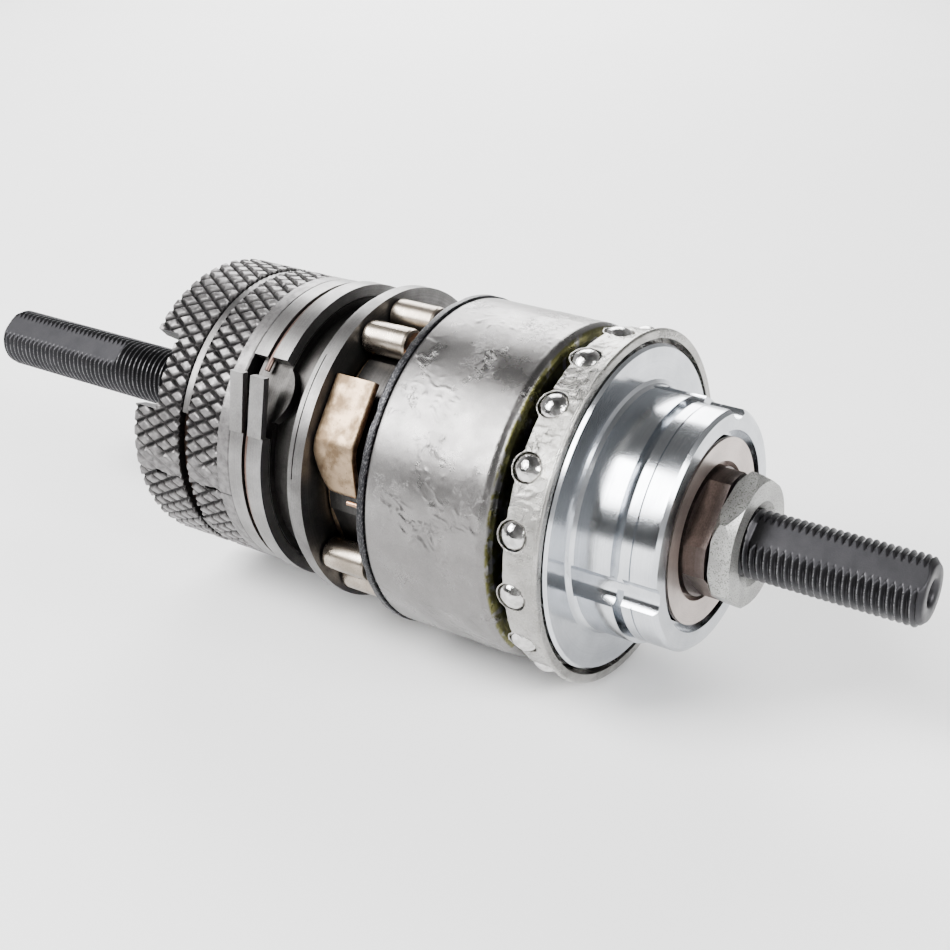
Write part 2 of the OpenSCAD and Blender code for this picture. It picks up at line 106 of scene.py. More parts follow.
def add_world():
    """A grey dome, darker overhead and round one direction."""
    world = bpy.data.worlds.new("studio")
    world.use_nodes = True
    tree = world.node_tree
    place = tree.nodes.new("ShaderNodeTexCoord").outputs["Generated"]
    split = tree.nodes.new("ShaderNodeSeparateXYZ")
    rise = tree.nodes.new("ShaderNodeMapRange")
    rise.inputs["To Min"].default_value = HORIZON
    rise.inputs["To Max"].default_value = ZENITH
    near = tree.nodes.new("ShaderNodeVectorMath")
    near.operation = "DOT_PRODUCT"
    near.inputs[1].default_value = Vector(DARK_SIDE).normalized()
    shade = tree.nodes.new("ShaderNodeMapRange")
    shade.interpolation_type = "SMOOTHSTEP"
    for name, value in (("From Min", DARK_EDGE), ("From Max", DARK_CORE),
                        ("To Min", 1.0), ("To Max", DARK_SHARE)):
        shade.inputs[name].default_value = value
    product = tree.nodes.new("ShaderNodeMath")
    product.operation = "MULTIPLY"
    background = tree.nodes["Background"]
    background.inputs["Color"].default_value = (1, 1, 1, 1)
    tree.links.new(place, split.inputs[0])
    tree.links.new(place, near.inputs[0])
    tree.links.new(split.outputs["Z"], rise.inputs["Value"])
    tree.links.new(near.outputs["Value"], shade.inputs["Value"])
    tree.links.new(rise.outputs[0], product.inputs[0])
    tree.links.new(shade.outputs[0], product.inputs[1])
    tree.links.new(product.outputs[0], background.inputs["Strength"])
    bpy.context.scene.world = world


def add_floor():
    mesh = bpy.data.meshes.new("floor")
    corners = ((-1, -1), (1, -1), (1, 1), (-1, 1))
    mesh.from_pydata([(x * FLOOR_HALF, y * FLOOR_HALF, FLOOR_Z) for x, y in corners], [],
                     [(0, 1, 2, 3)])
    floor = bpy.data.objects.new("floor", mesh)
    finish = Shader("floor", 0.7, 0.0)
    mesh.materials.append(finish.done(finish.mix(finish.noise(40.0), (0.92, 0.92, 0.92),
                                                 (0.95, 0.95, 0.95))))
    bpy.context.scene.collection.objects.link(floor)


# Meshes


def point(r, s, a):
    """The place in metres of a radius, a station and an angle, as arrays or numbers."""
    a = np.radians(a)
    return np.stack(np.broadcast_arrays(r * np.cos(a), s, r * np.sin(a)), -1) * MM


def new_object(name, verts, faces, material, body, smooth=40.0):
    """A mesh piece that rides a body; edges sharper than smooth degrees stay sharp."""
    mesh = bpy.data.meshes.new(name)
    mesh.from_pydata(np.asarray(verts).tolist(), [], faces)
    mesh.validate()
    mesh.polygons.foreach_set("use_smooth", [True] * len(mesh.polygons))
    mesh.set_sharp_from_angle(angle=radians(smooth))
    mesh.materials.append(material)
    piece = bpy.data.objects.new(name, mesh)
    bpy.context.scene.collection.objects.link(piece)
    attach(piece, body)
    return piece


def grid_faces(rows, columns, wrap_rows, wrap_columns, flip=False):
    """Quads of a grid whose vertices are stored row by row."""
    i = np.arange(rows if wrap_rows else rows - 1)[:, None]
    j = np.arange(columns if wrap_columns else columns - 1)[None, :]
    i2, j2 = (i + 1) % rows, (j + 1) % columns
    quads = np.stack(np.broadcast_arrays(i * columns + j, i * columns + j2, i2 * columns + j2,
                                         i2 * columns + j), -1).reshape(-1, 4)
    return (quads[:, ::-1] if flip else quads).tolist()


def band(from_r, to_r, from_s, to_s):
    """The four corners of a plain ring's section."""
    return [(from_r, from_s), (to_r, from_s), (to_r, to_s), (from_r, to_s)]


def part_way(start, end, *shares):
    """The places at the given shares of the way from start to end."""
    start, end = np.array(start), np.array(end)
    return [start + (end - start) * t for t in shares]


def rounded(outline, corner, step):
    """A closed outline of (radius, station) with rounded corners and sides cut to short steps."""
    pts = np.array(outline, float)
    out = []
    for before, at, after in zip(np.roll(pts, 1, 0), pts, np.roll(pts, -1, 0)):
        back, ahead = before - at, after - at
        cut = min(corner, 0.45 * np.linalg.norm(back), 0.45 * np.linalg.norm(ahead))
        p = at + back / np.linalg.norm(back) * cut
        q = at + ahead / np.linalg.norm(ahead) * cut
        for t in (0, 0.25, 0.5, 0.75, 1):
            out.append((1 - t) ** 2 * p + 2 * t * (1 - t) * at + t * t * q)
    full = []
    for p, q in zip(out, np.roll(out, -1, 0)):
        count = max(1, int(np.ceil(np.linalg.norm(q - p) / step)))
        full += [p + (q - p) * k / count for k in range(count)]
    return np.array(full)


def turned(name, outline, material, body, corner=0.15, step=2.0, columns=240, arc=None,
           shape=None, smooth=40.0):
    """A turned piece, whole or over an arc of (start, end) degrees.

    shape, if given, changes the radii and stations of all points by their angles.
    """
    ring = rounded(outline, corner, step)
    a = np.linspace(*arc, columns) if arc else np.arange(columns) * 360 / columns
    r, s, a = np.broadcast_arrays(ring[:, 0][:, None], ring[:, 1][:, None], a[None, :])
    if shape:
        r, s = shape(r, s, a)
    faces = grid_faces(len(ring), columns, True, not arc)
    if arc:
        faces.append([i * columns for i in range(len(ring))])
        faces.append([i * columns + columns - 1 for i in reversed(range(len(ring)))])
    piece = new_object(name, point(r, s, a).reshape(-1, 3), faces, material, body, smooth)
    orient(piece)
    return piece


def orient(piece):
    """Turns a closed piece's faces so that they point outwards."""
    mesh = piece.data
    co = np.empty(len(mesh.vertices) * 3)
    mesh.vertices.foreach_get("co", co)
    co = co.reshape(-1, 3)
    volume = 0.0
    for face in mesh.polygons:
        v = co[list(face.vertices)]
        for k in range(1, len(v) - 1):
            volume += v[0] @ np.cross(v[k], v[k + 1])
    if volume < 0:
        mesh.flip_normals()


# Sizes in millimetres and degrees that pieces and materials share

AXLE_R = 4.7625
AXLE_FROM, AXLE_TO = (round(corner[1] / MM, 3) for corner in cad_box)
SHOE_R = 22.25
SHOE_FROM, SHOE_TO = 72.9, 91.6
GROOVE_R = 20.6
GROOVE_FROM, GROOVE_TO = 81.3, 82.9
BEVEL_TO = 27.5
SKIN_R = 24.33
SHEET_R = 24.4


# Materials


class Shader:
    """A metal or coating built from nodes, with its texture coordinates in millimetres."""

    def __init__(self, name, rough, metallic=1.0):
        self.material = bpy.data.materials.new(name)
        self.material.use_nodes = True
        self.tree = self.material.node_tree
        self.surface = self.tree.nodes["Principled BSDF"]
        self.surface.inputs["Metallic"].default_value = metallic
        self.surface.inputs["Roughness"].default_value = rough
        self.height = None
        place = self.node("ShaderNodeTexCoord").outputs["Object"]
        self.place = self.vector("SCALE", place, scale=1000.0)
        split = self.node("ShaderNodeSeparateXYZ", Vector=self.place)
        x, self.station, z = split.outputs
        self.radius = self.math("SQRT", self.math("ADD", self.math("MULTIPLY", x, x),
                                                  self.math("MULTIPLY", z, z)))
        self.turned = self.node("ShaderNodeCombineXYZ", X=self.radius, Y=self.station).outputs[0]

    def node(self, kind, **inputs):
        node = self.tree.nodes.new(kind)
        for name, value in inputs.items():
            self.put(node.inputs[name.replace("_", " ")], value)
        return node

    def put(self, socket, value):
        if isinstance(value, bpy.types.NodeSocket):
            self.tree.links.new(value, socket)
        else:
            socket.default_value = value

    def math(self, operation, *values):
        node = self.tree.nodes.new("ShaderNodeMath")
        node.operation = operation
        for socket, value in zip(node.inputs, values):
            self.put(socket, value)
        return node.outputs[0]

    def vector(self, operation, *values, scale=None):
        node = self.tree.nodes.new("ShaderNodeVectorMath")
        node.operation = operation
        for socket, value in zip(node.inputs, values):
            self.put(socket, value)
        if scale is not None:
            node.inputs["Scale"].default_value = scale
        return node.outputs[0]

    def noise(self, size, detail=3.0, where=None, rough=0.55):
        """Noise from 0 to 1 whose features are about size millimetres across."""
        where = self.place if where is None else where
        node = self.node("ShaderNodeTexNoise", Vector=where, Scale=1.0 / size, Detail=detail,
                         Roughness=rough)
        return node.outputs["Fac"]

    def between(self, value, low, high, out_low=0.0, out_high=1.0):
        node = self.node("ShaderNodeMapRange", Value=value, From_Min=low, From_Max=high,
                         To_Min=out_low, To_Max=out_high)
        node.interpolation_type = "SMOOTHSTEP"
        return node.outputs[0]

    def mix(self, factor, first, second):
        node = self.tree.nodes.new("ShaderNodeMix")
        node.data_type = "RGBA"
        for socket, value in ((node.inputs[0], factor), (node.inputs[6], first),
                              (node.inputs[7], second)):
            self.put(socket, (*value, 1.0) if isinstance(value, tuple) else value)
        return node.outputs[2]

    def bump(self, height, depth):
        """Adds a height pattern whose full range is depth millimetres deep."""
        node = self.node("ShaderNodeBump", Height=height, Strength=1.0, Distance=depth * MM)
        if self.height is not None:
            self.tree.links.new(self.height, node.inputs["Normal"])
        self.height = node.outputs[0]

    def done(self, colour, rough=None):
        """Wires a mixed colour, a roughness and the heights to the surface."""
        self.put(self.surface.inputs["Base Color"], colour)
        if rough is not None:
            self.put(self.surface.inputs["Roughness"], rough)
        if self.height is not None:
            self.put(self.surface.inputs["Normal"], self.height)
        return self.material


def turned_steel(name, light, dark, rough, marks=0.25, depth=0.004):
    """Machined steel with fine turning marks, slow stains and small scratches."""
    s = Shader(name, rough)
    lines = s.noise(0.12, 2.0, s.turned)
    cloud = s.noise(6.0, 4.0)
    grain = s.noise(0.25, 3.0)
    tone = s.math("ADD", s.math("MULTIPLY", lines, marks),
                  s.math("ADD", s.math("MULTIPLY", cloud, 0.9 - marks),
                         s.math("MULTIPLY", grain, 0.2)))
    s.bump(lines, depth)
    s.bump(grain, depth * 0.8)
    colour = s.mix(s.between(tone, 0.38, 0.72), dark, light)
    return s.done(colour, s.between(tone, 0.3, 0.8, rough + 0.08, rough - 0.06))


def black_oxide(name):
    """Black oxide, worn to grey along its crests and edges."""
    s = Shader(name, 0.42)
    cloud = s.noise(3.0, 4.0)
    grain = s.noise(0.2, 3.0)
    s.bump(grain, 0.012)
    colour = s.mix(cloud, (0.022, 0.022, 0.024), (0.048, 0.047, 0.05))
    crest = s.math("MULTIPLY", s.between(s.radius, AXLE_R - 0.1025, AXLE_R - 0.0225),
                   s.between(grain, 0.35, 0.6))
    colour = s.mix(crest, colour, (0.15, 0.15, 0.155))
    return s.done(colour, s.between(cloud, 0.3, 0.7, 0.5, 0.38))


def knurled_steel(name):
    """Dark hardened steel: worn tops, black grooves and a rusty spring groove."""
    s = Shader(name, 0.4)
    worn = s.noise(1.1, 5.0)
    tips = s.between(s.radius, SHOE_R - 0.53, SHOE_R - 0.09)
    tone = s.math("MULTIPLY", tips, s.between(worn, 0.3, 0.65, 0.5, 0.95))
    grain = s.noise(0.25, 4.0)
    s.bump(grain, 0.05)
    colour = s.mix(tone, (0.02, 0.019, 0.019), (0.19, 0.183, 0.182))
    rust = s.mix(worn, (0.05, 0.034, 0.028), (0.15, 0.105, 0.085))
    start = s.between(s.station, GROOVE_FROM - 0.2, GROOVE_FROM - 0.1)
    end = s.between(s.station, GROOVE_TO + 0.2, GROOVE_TO + 0.1)
    low = s.between(s.radius, GROOVE_R + 0.3, GROOVE_R)
    colour = s.mix(s.math("MULTIPLY", low, s.math("MULTIPLY", start, end)), colour, rust)
    return s.done(colour, s.between(tone, 0.0, 1.0, 0.5, 0.36))


def greased_steel(name, light, dark, rough, depth):
    """The shader, colour and roughness of satin steel under a thin dried film of grease."""
    s = Shader(name, rough)
    cloud = s.noise(5.0, 4.0)
    weave = s.noise(0.22, 2.0, s.vector("ADD", s.place, s.vector("SCALE", s.turned, scale=3.0)))
    veins = s.noise(0.9, 6.0, rough=0.7)
    line = s.between(s.math("ABSOLUTE", s.math("SUBTRACT", veins, 0.5)), 0.0, 0.02, 1.0, 0.0)
    line = s.math("MULTIPLY", line, s.between(s.noise(7.0, 2.0), 0.52, 0.7))
    s.bump(weave, depth * 0.12)
    s.bump(line, depth * 0.5)
    tone = s.math("ADD", s.math("MULTIPLY", cloud, 0.45), s.math("MULTIPLY", weave, 0.55))
    colour = s.mix(s.between(tone, 0.36, 0.66), dark, light)
    colour = s.mix(s.math("MULTIPLY", line, 0.3), colour, (0.08, 0.078, 0.075))
    return s, colour, s.between(cloud, 0.3, 0.7, rough + 0.07, rough - 0.05)


def ring_steel(name):
    """Greased steel, olive on the bevel at its drive end."""
    s, colour, rough = greased_steel(name, (0.215, 0.208, 0.204), (0.155, 0.150, 0.147), 0.3, 0.08)
    olive = s.mix(s.noise(1.0, 4.0), (0.03, 0.03, 0.014), (0.17, 0.165, 0.06))
    front = s.math("MULTIPLY", s.between(s.station, BEVEL_TO + 0.25, BEVEL_TO - 0.05),
                   s.between(s.noise(2.2, 3.0), 0.38, 0.5))
    return s.done(s.mix(front, colour, olive), rough)


def retainer_steel(name):
    s, colour, rough = greased_steel(name, (0.44, 0.43, 0.41), (0.22, 0.214, 0.2), 0.25, 0.3)
    return s.done(colour, rough)


def bronze_sheet(name):
    """Bronze with brown and olive stains."""
    s = Shader(name, 0.4)
    cloud = s.noise(2.4, 4.0)
    grain = s.noise(0.35, 4.0)
    s.bump(grain, 0.03)
    s.bump(cloud, 0.08)
    colour = s.mix(s.between(cloud, 0.34, 0.62), (0.14, 0.096, 0.058), (0.31, 0.226, 0.148))
    colour = s.mix(s.between(grain, 0.62, 0.72), colour, (0.13, 0.09, 0.055))
    return s.done(colour, s.between(cloud, 0.3, 0.7, 0.5, 0.34))


def scratched_dark(name):
    """Black steel with fine light scratches."""
    s = Shader(name, 0.42)
    marks = s.noise(0.35, 5.0, s.vector("ADD", s.place, s.vector("SCALE", s.turned, scale=2.0)))
    s.bump(marks, 0.03)
    colour = s.mix(s.between(marks, 0.5, 0.68), (0.022, 0.022, 0.024), (0.13, 0.13, 0.135))
    return s.done(colour, 0.42)


def ball_steel(name):
    """Polished steel under a thin uneven film of clear grease."""
    s = Shader(name, 0.1)
    film = s.noise(1.0, 3.0)
    s.bump(film, 0.12)
    colour = s.mix(s.between(film, 0.35, 0.65), (0.42, 0.41, 0.40), (0.66, 0.65, 0.64))
    return s.done(colour, s.between(film, 0.3, 0.7, 0.08, 0.2))


def speckled_zinc(name):
    """Matt zinc with stains and dark specks."""
    s = Shader(name, 0.38, 0.85)
    speck = s.noise(0.22, 3.0)
    cloud = s.noise(3.0, 3.0)
    s.bump(speck, 0.02)
    colour = s.mix(s.between(cloud, 0.3, 0.7), (0.29, 0.29, 0.28), (0.39, 0.39, 0.375))
    colour = s.mix(s.between(speck, 0.52, 0.62), colour, (0.15, 0.15, 0.14))
    return s.done(colour)


STEEL = turned_steel("satin_steel", (0.34, 0.335, 0.33), (0.23, 0.226, 0.222), 0.33)
RIM = turned_steel("rim_steel", (0.17, 0.166, 0.163), (0.085, 0.082, 0.08), 0.36)
BAND = turned_steel("band_steel", (0.24, 0.235, 0.232), (0.13, 0.126, 0.123), 0.36)
BRIGHT = turned_steel("bright_zinc", (0.64, 0.66, 0.69), (0.46, 0.48, 0.51), 0.15, 0.3, 0.003)
DARK = turned_steel("dark_steel", (0.06, 0.057, 0.055), (0.025, 0.024, 0.023), 0.38)
BROWN = turned_steel("brown_steel", (0.13, 0.105, 0.096), (0.055, 0.045, 0.042), 0.34)
ROLLER = turned_steel("roller_steel", (0.44, 0.385, 0.325), (0.22, 0.187, 0.15), 0.28)
WIRE = turned_steel("old_wire", (0.16, 0.105, 0.09), (0.09, 0.06, 0.05), 0.4)
COPPER = turned_steel("copper_wire", (0.42, 0.25, 0.16), (0.24, 0.14, 0.09), 0.32)
CAP = turned_steel("beige_cap", (0.60, 0.525, 0.485), (0.45, 0.39, 0.36), 0.36)
BALL = ball_steel("ball_steel")
ZINC = speckled_zinc("speckled_zinc")
BRONZE = bronze_sheet("bronze")
SCRATCHED = scratched_dark("scratched_dark")
BLACK = black_oxide("black_oxide")
KNURL = knurled_steel("knurled_steel")
RING = ring_steel("ring_steel")
SHEET = retainer_steel("retainer_steel")

NODE_MATERIALS = {
    "sun_gear": STEEL, "clutch_spring": BRIGHT, "drive_cone": BROWN, "drive_dust_cap": CAP,
    # cone_washer gets near-black dark_steel: it is a real lock washer, but its dark colour is also
    # painted shade standing in for the shadowed gap between the drive cone and the locknut.
    "cone_washer": DARK, "drive_locknut": ZINC, "stop_washer": DARK, "stop_nut": BLACK,
    "shift_key": BRIGHT, "sliding_clutch": STEEL, "driver": BRIGHT, "cone_balls": BALL,
    "drive_ball_retainer": SHEET, "drive_balls": BALL, "ring_gear": RING,
    "ring_gear_cover": SCRATCHED, "planet_carrier": STEEL, "planet_pins": BRIGHT,
    "roller_cam": DARK, "cam_flange": RIM, "roller_cage": BRONZE, "cage_spring": COPPER,
    "brake_cone": DARK, "friction_ring_drive": BAND, "friction_ring_brake": BAND,
    "friction_wire": WIRE, "shoe_spring": RIM, "axle": BLACK,
    **{f"planet_gear_{n}": STEEL for n in range(1, 5)},
    **{f"roller_{n}": ROLLER for n in range(1, 7)},
    **{f"brake_shoe_{n}": KNURL for n in range(1, 4)},
}
EDGE, EDGE_ANGLE = 0.12, 32
ROUND_NODES = ("cone_balls", "drive_balls", "clutch_spring", "cage_spring", "friction_wire")


def dress_cad():
    """Gives each CAD node its material and softens its edges."""
    for name, piece in nodes.items():
        piece.data.materials.clear()
        piece.data.materials.append(NODE_MATERIALS[name])
        if name in ROUND_NODES:
            continue
        bevel = piece.modifiers.new("edges", "BEVEL")
        bevel.width = EDGE * MM
        bevel.segments = 2
        bevel.limit_method = "ANGLE"
        bevel.angle_limit = radians(EDGE_ANGLE)
        bevel.harden_normals = False


# Axle with its real thread and flats

PITCH = 25.4 / 26
THREAD_DEPTH = 0.5
CREST, SLOPE = 0.12, 0.76
DRIVE_THREAD_TO, BRAKE_THREAD_FROM = 2.0, 91.0
FLAT_AT = 128.0
FLAT_R = 3.97
DRIVE_FLAT_TO, BRAKE_FLAT_FROM = -0.4, 114.3
RUN_OUT = 1.2
AXLE_MIDDLE = 50.0
DRIVE_CHAMFER, BRAKE_ROUND = 0.95, 1.3
BORE_R, BORE_TO = 1.65, -8.0
BORE_MOUTH_R, BORE_MOUTH = 2.1, 0.5


def thread_radius(s, a):
    """Radius of a right-handed V thread with narrow flats on its crests and roots."""
    turn = (s / PITCH + a / 360) % 1
    slope = np.clip((np.abs(turn - 0.5) * 2 - CREST) / SLOPE, 0, 1)
    return AXLE_R - 0.02 - THREAD_DEPTH * slope


def axle_radius(s, a):
    """Radius of the axle: threads, a plain middle, two flats at each end and eased ends."""
    threaded = (s < DRIVE_THREAD_TO) | (s > BRAKE_THREAD_FROM)
    r = np.where(threaded, thread_radius(s, a), AXLE_R)
    flat = FLAT_R / np.maximum(np.abs(np.cos(np.radians(a - FLAT_AT))), 0.3)
    past = np.where(s < AXLE_MIDDLE, s - DRIVE_FLAT_TO, BRAKE_FLAT_FROM - s)
    r = np.minimum(r, flat + np.clip(past * RUN_OUT, 0, 5))
    r = np.minimum(r, AXLE_R - DRIVE_CHAMFER + (s - AXLE_FROM))
    inward = BRAKE_ROUND - np.minimum(AXLE_TO - s, BRAKE_ROUND)
    tip = np.sqrt(np.maximum(BRAKE_ROUND ** 2 - inward ** 2, 0))
    return np.minimum(r, AXLE_R - BRAKE_ROUND + tip)


def add_axle():
    """The whole axle as one skin from the bottom of its bore to its brake end."""
    fine = PITCH / 10
    s = np.concatenate([
        np.arange(AXLE_FROM, DRIVE_THREAD_TO + 0.2, fine), np.arange(3, 90, 4),
        np.arange(BRAKE_THREAD_FROM, AXLE_TO - 0.2, fine),
        [AXLE_TO - left for left in (0.15, 0.07, 0.02, 0)]])[:, None]
    a = np.arange(0, 360, 2.0)[None, :]
    bore_r = np.array([0, BORE_R, BORE_R, BORE_MOUTH_R])[:, None]
    bore_s = np.array([BORE_TO, BORE_TO, AXLE_FROM + BORE_MOUTH, AXLE_FROM])[:, None]
    across = np.ones(a.shape)
    r = np.concatenate([bore_r * across, axle_radius(s, a), 0 * across])
    s = np.concatenate([bore_s * across, s * across, AXLE_TO * across])
    piece = new_object("axle_threaded", point(r, s, a).reshape(-1, 3),
                       grid_faces(len(r), a.size, False, True), BLACK, "axle_group", 50.0)
    orient(piece)
    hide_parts("axle")


# Brake shoes with a diamond knurl

SHOE_MIDDLE, SHOE_HALF = 10, 59.85
SHOE_BORE_R, SHOE_MOUTH_R = 17.5, 20.0
CONE_SLOPE = 0.4163
KNURL_FROM = 75.1
KNURL_STEP = 0.14
KNURL_ALONG, KNURL_ROUND = 3.88, 2 * pi * SHOE_R / 60
KNURL_DEPTH = 0.5
NOTCH_FROM = 87.5
NOTCH_TURN, NOTCH_HALF = 18.25, 15.25
SEAM = 70
SEAM_SLITS = ((76.3, 78.3), (85.8, 88.3))


def knurl_depth(s, a):
    """Depth below the tops of crossed diagonal grooves."""
    along, arc = (s - 80) / KNURL_ALONG, radians(a - 144.4) * SHOE_R / KNURL_ROUND
    u, v = along + arc + 0.5, along - arc + 0.5
    wave = np.minimum(0.5 - np.abs(u % 1 - 0.5), 0.5 - np.abs(v % 1 - 0.5))
    uneven = np.array([noise.noise((float(x) * 0.7, a * 0.27, 2.0)) for x in s])
    return KNURL_DEPTH * np.clip(1 - (wave - 0.04) / 0.17, 0, 1) + np.maximum(uneven, 0) * 0.2


def shoe_outside(s, angle):
    """Radius of a shoe's outside: knurl, spring groove, worn strip and slits at the seam."""
    deep = knurl_depth(s, angle) * np.clip((s - KNURL_FROM) / 0.3, 0, 1)
    beside = angle % 120 - SEAM
    worn = np.clip((beside + 10) / 3, 0, 1) * np.clip((1 - beside) / 2, 0, 1)
    r = SHOE_R - 0.02 - deep * (1 - 0.6 * worn)
    if abs(beside) < 0.75:
        for start, end in SEAM_SLITS:
            r = np.where((s > start) & (s < end), r - 1.0, r)
    return np.where((s > GROOVE_FROM) & (s < GROOVE_TO), GROOVE_R, r)


def add_shoe(number):
    """One of three shoes, notched at its brake end and coned at both ends of its bore."""
    middle = SHOE_MIDDLE + 120 * number
    notch = (middle + NOTCH_TURN - NOTCH_HALF, middle + NOTCH_TURN + NOTCH_HALF)
    a = np.linspace(middle - SHOE_HALF, middle + SHOE_HALF, 330)
    a = np.sort(np.concatenate([a, notch, notch]))
    outer = np.concatenate([
        [SHOE_FROM + 0.02, SHOE_FROM + 0.25], np.linspace(SHOE_FROM + 0.5, KNURL_FROM - 0.1, 3),
        np.arange(KNURL_FROM, GROOVE_FROM - 0.1, KNURL_STEP),
        [GROOVE_FROM - 0.02, GROOVE_FROM + 0.02, GROOVE_TO - 0.02, GROOVE_TO + 0.02],
        np.linspace(GROOVE_TO + 0.1, SHOE_TO - 0.2, 61), [SHOE_TO - 0.15, SHOE_TO]])
    rise = (SHOE_MOUTH_R - SHOE_BORE_R) / CONE_SLOPE
    columns = []
    for k, angle in enumerate(a):
        # each notch angle is there twice, so that the notch's sides are steps
        second = angle == a[k - 1]
        inside = notch[0] < angle < notch[1] or angle == notch[0 if second else 1]
        stop = NOTCH_FROM if inside else SHOE_TO
        s = np.minimum(outer, stop)
        r = shoe_outside(s, angle)
        r[0] -= 0.2
        mouth_r = SHOE_BORE_R + max(0.0, (stop - (SHOE_TO - rise)) * CONE_SLOPE)
        bore = [(mouth_r, stop), (SHOE_BORE_R, SHOE_TO - rise), (SHOE_BORE_R, SHOE_FROM + rise),
                (SHOE_MOUTH_R, SHOE_FROM)]
        columns.append(np.concatenate([np.stack([r, s], 1), bore]))
    grid = np.array(columns)
    rows = grid.shape[1]
    verts = point(grid[:, :, 0], grid[:, :, 1], a[:, None]).reshape(-1, 3)
    faces = grid_faces(len(a), rows, False, True)
    faces.append(list(range(rows)))
    faces.append([(len(a) - 1) * rows + i for i in reversed(range(rows))])
    piece = new_object(f"shoe_knurled_{number}", verts, faces, KNURL, f"shoe_{number}", 28.0)
    orient(piece)
    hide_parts(f"brake_shoe_{number}")


# Ring gear's outer skin with a smear of set grease

SKIN_BEVEL = ((22.6, 27.17), (23.8, BEVEL_TO), (SKIN_R, 28.4))
SKIN_EDGE = ((SKIN_R, 46.3), (24.25, 46.75), (23.9, 46.92))
FOLD_R = 24.3
PATCH_AT, PATCH_STATION = 178, 38
PATCH_TILT = (12 / 14, 7.2 / 14)
PATCH_LONG, PATCH_WIDE = 9, 2.6


def skin_bumps(s, a):
    """Height of the dried grease on the ring gear, in millimetres."""
    out = np.zeros(s.shape)
    for index in np.ndindex(s.shape):
        x, y = radians(a[index]) * FOLD_R, s[index]
        warp = noise.noise((x * 0.3, y * 0.3, 3.1))
        fold = 1 - abs(noise.noise((x * 0.8 + warp * 1.5, (y + x * 0.6) * 0.5, 7.7))) * 5
        broken = max(0.0, min(1.0, 0.45 + 1.8 * noise.noise((x * 0.9, y * 0.9, 9.0))))
        place = noise.noise((x * 0.11, y * 0.13, 1.3)) - 0.05
        dx, dy = x - radians(PATCH_AT) * FOLD_R, y - PATCH_STATION
        along = PATCH_TILT[1] * dx - PATCH_TILT[0] * dy
        across = PATCH_TILT[0] * dx + PATCH_TILT[1] * dy
        patch = max(0.0, 1 - hypot(along / PATCH_LONG, across / PATCH_WIDE) ** 2)
        amount = max(0.0, min(1.0, place * 3)) * 0.6 * broken + patch * 1.6
        out[index] = 0.15 * max(0.0, fold) * amount + 0.008 * noise.noise((x * 1.1, y * 1.1, 0.4))
    return out


def add_ring_skin():
    """An open skin just over the ring gear, wrinkled by its film of grease."""
    outline = [
        *part_way(*SKIN_BEVEL[:2], 0, 0.5), *part_way(*SKIN_BEVEL[1:], 0, 0.4, 0.8),
        *((SKIN_R, s) for s in np.arange(28.5, 46.3, 0.2)),
        *part_way(*SKIN_EDGE[:2], 0.2, 0.6, 1.0), *part_way(*SKIN_EDGE[1:], 0.5, 1.0)]
    ring = np.array(outline)
    a = np.arange(0, 360, 0.5)
    r, s, a = np.broadcast_arrays(ring[:, 0][:, None], ring[:, 1][:, None], a[None, :])
    r = r + np.maximum(skin_bumps(s, a), -0.01)
    piece = new_object("ring_gear_skin", point(r, s, a).reshape(-1, 3),
                       grid_faces(*a.shape, False, True, True), RING, "ring", 60.0)


COVER_BORE_R, COVER_R = 17.2, 24.58
COVER_FROM, COVER_TO = 46.93, 47.98


def add_cover():
    """The ring gear's end cover, with a nicked rim."""
    def nicked(r, s, a):
        x = np.radians(a) * (COVER_R - 0.08)
        cut = np.array([noise.noise((float(v) * 0.3, 4.0, 0.0)) for v in x[0]])
        cut = np.clip(cut * 1.8, 0, 1)[None, :]
        rim = np.clip((r - (COVER_R - 1.38)) / 1.2, 0, 1)
        return r - 0.12 * rim * cut, np.where(s > COVER_TO - 0.48, s - 0.22 * rim * cut, s)

    outline = band(COVER_BORE_R, COVER_R, COVER_FROM, COVER_TO)
    piece = turned("cover_nicked", outline, SCRATCHED, "ring", 0.2, 1.0, 480,
                   shape=nicked)
    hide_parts("ring_gear_cover")


# Ball retainer: pressed sheet with a scalloped edge and a rolled lip

BALL_COUNT = 17
BALL_GAP = 360 / BALL_COUNT
BALLS = [147.4 + k * BALL_GAP for k in range(BALL_COUNT)]
BALL_ORBIT, BALL_STATION = 22.75, 23.3
BULGE_R = 2.3
SHEET_IN_R = SHEET_R - 0.48
SHEET_TO = 24.45
PRESSED_FROM = 20
LIP_R = 25.27
LIP_FROM = 18.95
HOLE_STEPS = 40
HOLE_PROFILE = ((0.8, 2.28), (1.35, 2.16), (2.6, 1.85))
ALONG_AXLE = np.array((0, 1, 0))


def sheet_edge(a):
    """Station of the retainer's edge, which bulges round each ball."""
    away = np.abs((a - BALLS[0] + BALL_GAP / 2) % BALL_GAP - BALL_GAP / 2)
    reach = np.radians(away) * SHEET_R
    bulge = np.sqrt(np.maximum(BULGE_R ** 2 - reach ** 2, 0))
    return np.maximum(SHEET_TO, BALL_STATION + bulge)


def ball_holes():
    """Tapered plugs where the balls stand out of the retainer, as one mesh for cutting it."""
    verts, faces = [], []
    for a in BALLS:
        centre = point(BALL_ORBIT, BALL_STATION, a)
        out = point(1.0, 0.0, a) / MM
        side = np.cross(out, ALONG_AXLE)
        base = len(verts)
        for reach, size in HOLE_PROFILE:
            for t in np.arange(0, 2 * pi, 2 * pi / HOLE_STEPS):
                round_hole = cos(t) * side + sin(t) * ALONG_AXLE
                verts.append(centre + MM * (out * reach + size * round_hole))
        rings = len(HOLE_PROFILE)
        faces += [[base + v for v in f] for f in grid_faces(rings, HOLE_STEPS, False, True)]
        faces.append([base + v for v in reversed(range(HOLE_STEPS))])
        faces.append([base + v for v in range((rings - 1) * HOLE_STEPS, rings * HOLE_STEPS)])
    cutter = new_object("cutter", verts, faces, SHEET, "drive_bearing")
    orient(cutter)
    return cutter


